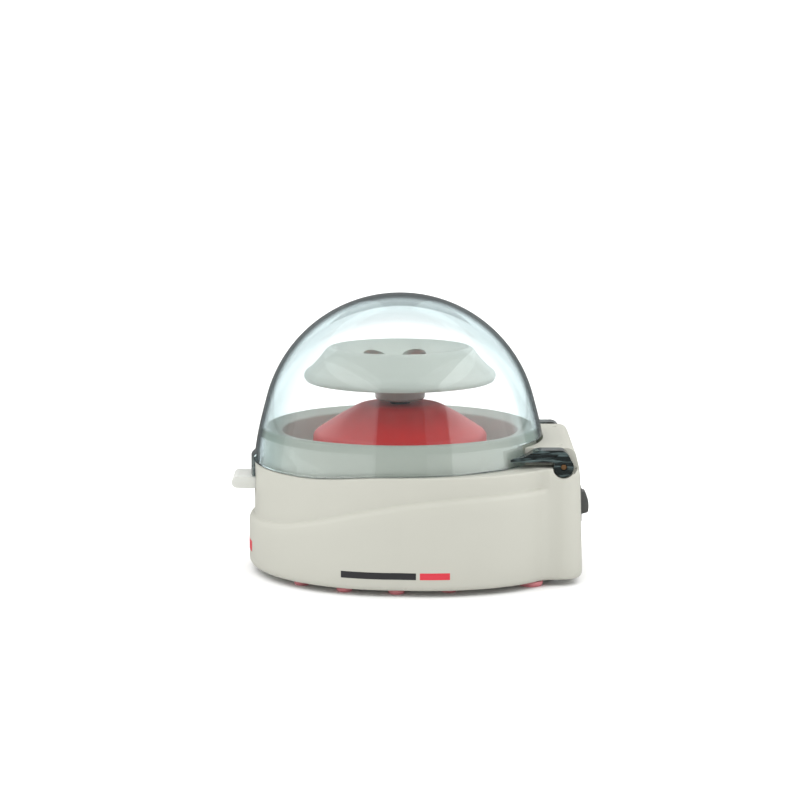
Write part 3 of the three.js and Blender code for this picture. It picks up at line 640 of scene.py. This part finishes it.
def build_case():
    case = case_shell()
    join(case, hinge_block())
    cut(case, rod("motor_hole", 20, (0, 0, 40), (0, 0, 50), 64))
    for side in (-1, 1):
        inner, outer = side * (EAR_INNER - 0.9), side * 50
        near, far = sorted((inner, outer))
        reaches = ((-36, 5.2), (-18, 6.1), (-8, 6.6), (0, 7.3), (12, 7.4), (24, 7.4))
        arc = [polar(reach, angle) for angle, reach in reaches]
        arc = [(HINGE_Y + y, HINGE_Z + z) for y, z in arc]
        cut(case,
            rod("pocket", EAR_RADIUS + 0.45, (inner, HINGE_Y, HINGE_Z), (outer, HINGE_Y, HINGE_Z), 72),
            prism("swing", [(HINGE_Y, HINGE_Z)] + arc, near, far, along="x"),
            rod("pin_bore", PIN_RADIUS + 0.3, (side * 28.5, HINGE_Y, HINGE_Z),
                (inner * 1.02, HINGE_Y, HINGE_Z), 24))
        dimple = turned("dimple", [(0, BLOCK_TOP - 0.35), (0.9, BLOCK_TOP - 0.3), (1.5, BLOCK_TOP + 0.3),
                                   (1.5, BLOCK_TOP + 1), (0, BLOCK_TOP + 1)], 32, (side * 24, 67.6))
        cut(case, dimple)
    latch_low, latch_high = node_box("release_tab")
    slot_half = latch_high[0] + 0.4
    cut(case, box("tab_slot", -slot_half, slot_half, -70, -57, latch_low[2] - 1.3, latch_high[2] + 0.4))
    cut(case, box("switch_hole", ROCKER_X - 4.6, ROCKER_X + 4.6, 68, 82, ROCKER_Z - 6.75, ROCKER_Z + 6.75))
    cut(case, rod("jack_hole", 4.3, (JACK_X, 68, JACK_Z), (JACK_X, 82, JACK_Z), 48))
    plunger = node_centre("lid_switch_plunger")
    cut(case, rod("plunger_bore", 1.75, (plunger[0], plunger[1] - AXIS_Y, 40),
                  (plunger[0], plunger[1] - AXIS_Y, 54), 32))
    finish_piece(case, CASE_WHITE, "base", "case_white", "housing_shell", smooth=38)


def build_feet():
    for node in NODES:
        if not node.startswith(("small_foot", "rear_foot")):
            continue
        low, high = node_box(node)
        radius = (high[0] - low[0]) / 2
        centre = ((low[0] + high[0]) / 2, (low[1] + high[1]) / 2 - AXIS_Y)
        plug = radius * 0.46
        top = BODY_BOTTOM - 0.3
        outline = rounded([
            (0, 0, 0), (radius * 0.86, 0, 0.8), (radius, 1.1, 0.7), (radius, top, 0.3), (plug, top, 0),
            (plug, high[2], 0.3), (0, high[2], 0),
        ], 0, 4)
        pad = turned(node + "_pad", outline, 48, centre)
        finish_piece(pad, FOOT_RED, "base", "foot_red", node)


# ------------------------------------------------------------------ bowl, cone and rotor

PART_FLOOR = DECK_TOP + 0.3  # the bowl and the cone stand on the deck


def build_bowl():
    outer, floor = 58.7, 47.2
    inner = 38.1
    outline = rounded([
        (outer, PART_FLOOR, 0), (outer, 61.5, 2), (57.4, 62.2, 1.2), (50.5, 60.1, 0.9),
        (48.9, floor + 0.4, 2.6), (inner, floor, 0.5), (inner, PART_FLOOR, 0), (47.5, PART_FLOOR, 0.3),
        (50.4, 47.6, 1), (51.9, 58.6, 1), (56.9, 59.9, 0.6), (56.9, PART_FLOOR, 0),
    ], 0.5, 8)
    bowl = turned("bowl", outline, 192)
    finish_piece(bowl, BOWL_GREY, "base", "bowl_grey", "rotor_bowl", smooth=50)


def build_cone():
    wall, outer, top = 2, 37.4, node_box("motor_cone")[1][2]
    outline = rounded([
        (4.2, top, 0.3), (16.9, top, 3.2), (27.8, 65, 6), (36.2, 59.2, 1), (outer, 57.2, 1.2),
        (outer, PART_FLOOR, 0), (outer - wall, PART_FLOOR, 0), (outer - wall, 57, 1), (26.8, 63.1, 5),
        (15.7, top - wall, 2), (4.2, top - wall, 0),
    ], 0.5, 8)
    cone = turned("cone", outline, 160)
    finish_piece(cone, CONE_RED, "base", "cone_red", "motor_cone", smooth=50)


def build_rotor():
    boss = 1.9
    outline = rounded([
        (boss, 84, 0), (11.5, 84, 1.5), (26.8, 92.7, 2), (30.8, 91.3, 1.4), (36.4, 85.4, 2),
        (38.7, 84, 1), (38.4, 81.2, 0.3), (39.9, 81, 0.8), (41.2, 82.9, 1.6), (40.6, 85.4, 1.6),
        (38.3, 86.8, 3), (34.2, 91.1, 2), (31.4, 94.9, 2), (29.4, 95.9, 1.2), (27.8, 95.2, 1),
        (11.5, 86.7, 3), (boss, 86.7, 0),
    ], 0.5, 7)
    disc = turned("rotor_plate", outline, 192)
    reach = 9
    for i in range(TUBE_COUNT):
        angle = TUBE_PHASE + 360 / TUBE_COUNT * i
        start = (*polar(TUBE_PITCH - reach, angle), TUBE_HEIGHT + reach)
        end = (*polar(TUBE_PITCH + reach, angle), TUBE_HEIGHT - reach)
        cut(disc, rod("tube_hole", TUBE_RADIUS, start, end, 64))
    soften(disc, 0.25, 3, 45)
    finish_piece(disc, ROTOR_GREY, "rotor", "rotor_grey", "rotor_disc", smooth=50)

    hub = turned("rotor_collar", rounded([
        (5.9, 72.9, 0.2), (9.9, 72.9, 0.5), (10.7, 73.7, 0.6), (10.7, 83.7, 0.2), (boss, 83.7, 0),
        (boss, 77.5, 0), (5.9, 77.5, 0),
    ], 0.3, 5), 96)
    # painted shade: the hub gets the rotor's grey darkened and warmed in place of its shadow and red bounce light
    finish_piece(hub, HUB_PAINTED_SHADE, "rotor", "rotor_grey", "rotor_hub", smooth=50)

    low, high = node_box("rotor_cap")
    radius = (high[0] - low[0]) / 2
    cap = turned("rotor_knob", rounded([
        (0, 88.5, 0), (boss, 88.5, 0), (boss, low[2], 0), (radius - 0.2, low[2], 0.3), (radius, 89.1, 0.6),
        (radius - 0.9, high[2] - 0.2, 0.8), (0, high[2], 0),
    ], 0.3, 5), 64)
    finish_piece(cap, ROTOR_GREY, "rotor", "rotor_grey", "rotor_cap", smooth=50)


# ------------------------------------------------------------------ lid

DOME_RADIUS = 59.2
DOME_WALL = 2.2
DOME_MIDDLE = DOME_TOP - DOME_RADIUS
LID_REAR_EDGE = 58.2


def dome_profile(wall, lowest):
    """Dome outline from the crown down: a sphere, then straighter flared sides."""
    centre = DOME_MIDDLE
    sphere = [(max(0, (DOME_RADIUS - wall) * math.cos(math.radians(a))),
               centre + (DOME_RADIUS - wall) * math.sin(math.radians(a)))
              for a in [90 - 75.7 * i / 40 for i in range(41)]]
    sphere[0] = (0, sphere[0][1])
    last = sphere[-1]
    flare = bezier(last, (last[0] + 1.9, last[1] - 7.2), (61.6 - wall, 59), (63 - wall, lowest), 14)
    return sphere + flare[1:]


def build_lid():
    dome = turned("dome", dome_profile(0, 46) + [(0, 46)], 256)
    tongue_in = 62.9
    tongue = turned("tongue", [
        (tongue_in, 41.2), (tongue_in + 1.1, 41.2), (tongue_in + 1.1, 49.3), (61.6, 51.6), (61.6, 48.2),
        (tongue_in, 47.7),
    ], 256)
    combine(tongue, [box("tongue_box", -11.5, 11.5, -70, -50, 40, 60)], "INTERSECT")
    rim = [(-80, 30), (-80, RIM_FRONT + 0.3)]
    rim += [(y, rim_height(y) + 0.3) for y in range(-46, 0, 2)]
    rim += [(60, RIM_REAR + 0.3), (60, 30)]
    cut(dome, prism("rim_cut", rim, -80, 80, along="x"),
        box("rear_cut", -EAR_INNER - 0.2, EAR_INNER + 0.2, 20, 80, 40, LID_REAR_EDGE))
    join(dome, tongue)
    inner = dome_profile(DOME_WALL, 40) + [(0, 40)]
    cut(dome, turned("inside", inner, 256))
    finish_piece(dome, LID_CLEAR, "lid", "lid_clear", "lid_dome", smooth=35)
    outer = dome.data.attributes.new("outer_wall", "FLOAT", "POINT")
    middle = Vector((0, AXIS_Y * MM, DOME_MIDDLE * MM))
    for point in dome.data.vertices:
        out = point.co - middle
        wall = Vector((out.x, out.y, max(0, out.z)))
        outer.data[point.index].value = 1 if wall.dot(point.normal) > 0 else 0


def build_arms():
    under = 52.4
    for side, name in ((-1, "left"), (1, "right")):
        near, far = sorted((side * EAR_INNER, side * EAR_OUTER))
        arm = prism("lid_strap_" + name, rounded([
            (44, under, 0), (64.2, under, 0.8), (HINGE_Y - 3, HINGE_Z, 0.3),
            (HINGE_Y + 3.3, HINGE_Z + 1, 0.3), (HINGE_Y + 2.8, HINGE_Z + 3.8, 1.5),
            (HINGE_Y + 0.4, ARM_TOP, 3), (56.5, ARM_TOP, 3), (52, under + 1.7, 3), (44, under + 1.2, 0),
        ], 0.4, 8), near, far, along="x")
        join(arm, rod("barrel", EAR_RADIUS, (near, HINGE_Y, HINGE_Z), (far, HINGE_Y, HINGE_Z), 72))
        # the strap is hollowed from its outer side, which leaves a flange along its top and bottom
        web = prism("web", rounded([
            (40, under + 1.1), (62.5, under + 1.1), (65.6, under + 2.3), (66.2, ARM_TOP - 1.3),
            (40, ARM_TOP - 1.3),
        ], 0.8, 5), *sorted((side * (EAR_OUTER - 1.1), side * (EAR_OUTER + 1))), along="x")
        cut(arm, web, turned("dome_body", dome_profile(-0.3, 40) + [(0, 40)], 256),
            rod("bore", PIN_RADIUS + 0.2, (near - 1, HINGE_Y, HINGE_Z), (far + 1, HINGE_Y, HINGE_Z), 32))
        soften(arm, 0.35, 3, 40)
        # the strap's dark colour and pale streaks are painted shade and painted reflections in place of refraction
        finish_piece(arm, ARM_PAINTED_REFRACTION, "lid", "lid_smoke", "lid_arm_" + name, smooth=40)


# ------------------------------------------------------------------ small parts

def build_pins():
    for side, name in ((-1, "left"), (1, "right")):
        end = side * (EAR_OUTER - 0.2)
        pin = rod("pin_" + name, PIN_RADIUS, (side * 29, HINGE_Y, HINGE_Z), (end, HINGE_Y, HINGE_Z), 32)
        soften(pin, 0.25, 3, 40)
        finish_piece(pin, BRONZE, "base", "bronze", "hinge_pin_" + name)


def build_tab():
    low, high = node_box("release_tab")
    front = low[1] - AXIS_Y
    tab = prism("tab", rounded([
        (front, 37.9, 0.8), (front + 1, 36.2, 1.2), (front + 3.2, 35.75, 1.5), (-54.5, 35.9, 0.4),
        (-54.5, 40.5, 0.4), (-70.2, 40.7, 0.6), (front + 0.6, 39.9, 0.8),
    ], 0.5, 6), low[0], high[0], along="x")
    cut(tab, rod("bore", 1.35, (-20, LATCH_Y, LATCH_Z), (20, LATCH_Y, LATCH_Z), 32))
    soften(tab, 0.4, 3, 40)
    finish_piece(tab, TAB_WHITE, "latch", "tab_white", "release_tab", smooth=40)


def build_switch():
    x, z = ROCKER_X, ROCKER_Z
    bezel = box("switch_bezel", x - 5.3, x + 5.3, SWITCH_FACE - 0.9, SWITCH_FACE, z - 7.2, z + 7.2)
    soften(bezel, 0.35, 3, 40)
    join(bezel, box("switch_body", x - 4.3, x + 4.3, 64, SWITCH_FACE - 0.5, z - 6.45, z + 6.45))
    cut(bezel, box("switch_hollow", x - 3.75, x + 3.75, 66, 90, z - 5.8, z + 5.8))
    finish_piece(bezel, DARK_GREY, "base", "black_plastic", "switch_frame")

    level = [
        (6.1, 4.6, 0.7), (6.9, 1.6, 2), (6.9, -1.6, 2), (6.1, -4.6, 0.7), (3, -4.9, 0.6),
        (-1.6, -3.4, 0.5), (-3, 0, 0.5), (-1.6, 3.4, 0.5), (3, 4.9, 0.6),
    ]
    resting_tilt = 9
    c, s = polar(1, resting_tilt)
    tilted = [(ROCKER_Y + y * c - h * s, z + y * s + h * c) for y, h in rounded(level, 0.4, 6)]
    rocker = prism("rocker", tilted, x - 3.4, x + 3.4, along="x")
    soften(rocker, 0.3, 3, 40)
    finish_piece(rocker, DARK_GREY, "rocker", "black_plastic", "switch_rocker", smooth=40)


def build_jack():
    flange = SWITCH_FACE - 0.9
    outline = rounded([
        (0, 66, 0), (4, 66, 0.3), (4, flange, 0), (5, flange, 0.2), (5, flange + 0.7, 0.35),
        (2.9, flange + 0.7, 0.3), (2.9, 68, 0), (0.9, 68, 0), (0.9, flange - 0.5, 0.4), (0, flange - 0.5, 0),
    ], 0.2, 5)
    jack = turned("jack", outline, 64)
    turn = Matrix.Rotation(math.radians(-90), 4, "X")
    place = Matrix.Translation((JACK_X * MM, AXIS_Y * MM, JACK_Z * MM))
    jack.data.transform(place @ turn @ Matrix.Translation((0, -AXIS_Y * MM, 0)))
    finish_piece(jack, DARK_GREY, "base", "black_plastic", "power_jack")


def printed_bar(name, material, slot, start, end, low, high):
    """A flat printed bar on the lower case wall, between two distances round it from the front
    middle. Negative distances are on the left."""
    half = case_half_outline()
    left = [(-x, y) for x, y in reversed(half[1:])]
    outline = left + half
    lengths = [0]
    for a, b in zip(outline, outline[1:]):
        lengths.append(lengths[-1] + math.dist(a, b))
    middle = lengths[len(left)]

    def at(length, out):
        k = max(i for i, value in enumerate(lengths[:-1]) if value <= length)
        a, b = Vector(outline[k]), Vector(outline[k + 1])
        along = (b - a).normalized()
        point = a + along * (length - lengths[k]) + Vector((along.y, -along.x)) * out
        return point.x, point.y

    steps, raised, sunk = 24, 0.06, 0.3
    stations = [start + (end - start) * i / steps for i in range(steps + 1)]
    ring = [at(middle + place, raised) for place in stations]
    ring += [at(middle + place, -sunk) for place in reversed(stations)]
    bar = prism(name, ring, low, high)
    finish_piece(bar, material, "base", slot, smooth=30)


def build_prints():
    """Plain bars in place of lettering: a dark and a short red one on the right, one in front."""
    quarter = LOWER_RADIUS * math.pi / 2
    side_low, side_high = 7.6, 10.4
    printed_bar("side_bar_dark", INK_DARK, "black_plastic", quarter - 25, quarter + 6.6, side_low, side_high)
    printed_bar("side_bar_red", INK_RED, "cone_red", quarter + 8.2, quarter + 20.6, side_low, side_high)
    front_half, front_low, front_high = 15, 9, 13.6
    printed_bar("front_bar_red", INK_RED, "cone_red", -front_half, front_half, front_low, front_high)


# ------------------------------------------------------------------ studio

SOFTBOX_DISTANCE = 1.25  # metres, as are the levels and sizes of the panels
SOFTBOXES = (
    # name, azimuth from the camera, level, width, height, radiance, whether only mirrored
    ("left_panel", 62, 0.75, 2.33, 1.5, 0.6, True),
    ("right_panel", -80, 0.75, 2.0, 1.5, 1.2, True),
    ("left_fill", 60, 0.9, 2.0, 2.0, 0.75, False),
    ("right_fill", -60, 0.9, 2.0, 2.0, 0.65, False),
    ("rear_left_fill", 140, 0.9, 1.6, 1.6, 0.9, False),
    ("rear_right_fill", -140, 0.9, 1.6, 1.6, 0.9, False),
)


def softbox(name, place, aim, width, height, radiance, mirrored):
    """An upright panel: mirrored ones only show in glossy surfaces, the others only light."""
    light = bpy.data.lights.new(name, "AREA")
    light.shape = "RECTANGLE"
    light.size = width
    light.size_y = height
    light.energy = radiance * math.pi * width * height
    holder = bpy.data.objects.new(name, light)
    bpy.context.scene.collection.objects.link(holder)
    holder.location = place
    holder.visible_camera = False
    holder.visible_glossy = mirrored
    holder.visible_diffuse = not mirrored
    level = Vector((aim[0] - place[0], aim[1] - place[1], 0))
    holder.rotation_euler = level.to_track_quat("-Z", "Y").to_euler()


def build_studio():
    world = bpy.data.worlds.new("studio")
    bpy.context.scene.world = world
    world.use_nodes = True
    nodes, links = world.node_tree.nodes, world.node_tree.links
    place = nodes.new("ShaderNodeTexCoord")
    split = nodes.new("ShaderNodeSeparateXYZ")
    glow = nodes.new("ShaderNodeMapRange")
    glow.inputs["From Min"].default_value = -0.05
    glow.inputs["From Max"].default_value = 0.3
    glow.inputs["To Min"].default_value = 0.36
    glow.inputs["To Max"].default_value = 0.5
    links.new(place.outputs["Generated"], split.inputs["Vector"])
    links.new(split.outputs["Z"], glow.inputs["Value"])
    links.new(glow.outputs["Result"], nodes["Background"].inputs["Strength"])
    nodes["Background"].inputs["Color"].default_value = (1, 1, 1, 1)

    reach = 60 / MM
    floor = prism("floor", [(-reach, -reach), (reach, -reach), (reach, reach), (-reach, reach)], -20, 0)
    material, tree, shader = principled("floor_white")
    shader.inputs["Base Color"].default_value = (0.93, 0.93, 0.93, 1)
    shader.inputs["Roughness"].default_value = 0.9
    floor.data.materials.append(material)
    floor.visible_glossy = False

    sun = bpy.data.lights.new("sky_panel", "SUN")
    sun.energy = 2.3
    sun.angle = math.radians(100)
    sky = bpy.data.objects.new("sky_panel", sun)
    bpy.context.scene.collection.objects.link(sky)
    sky.visible_glossy = False
    axis = AXIS_Y * MM
    for name, azimuth, level, width, height, radiance, mirrored in SOFTBOXES:
        x, y = polar(SOFTBOX_DISTANCE, -azimuth)
        softbox(name, (x, y + axis, level), (0, axis), width, height, radiance, mirrored)
    bpy.context.scene.view_settings.view_transform = "Standard"


build_case()
build_feet()
build_bowl()
build_cone()
build_rotor()
build_lid()
build_arms()
build_pins()
build_tab()
build_switch()
build_jack()
build_prints()
build_studio()
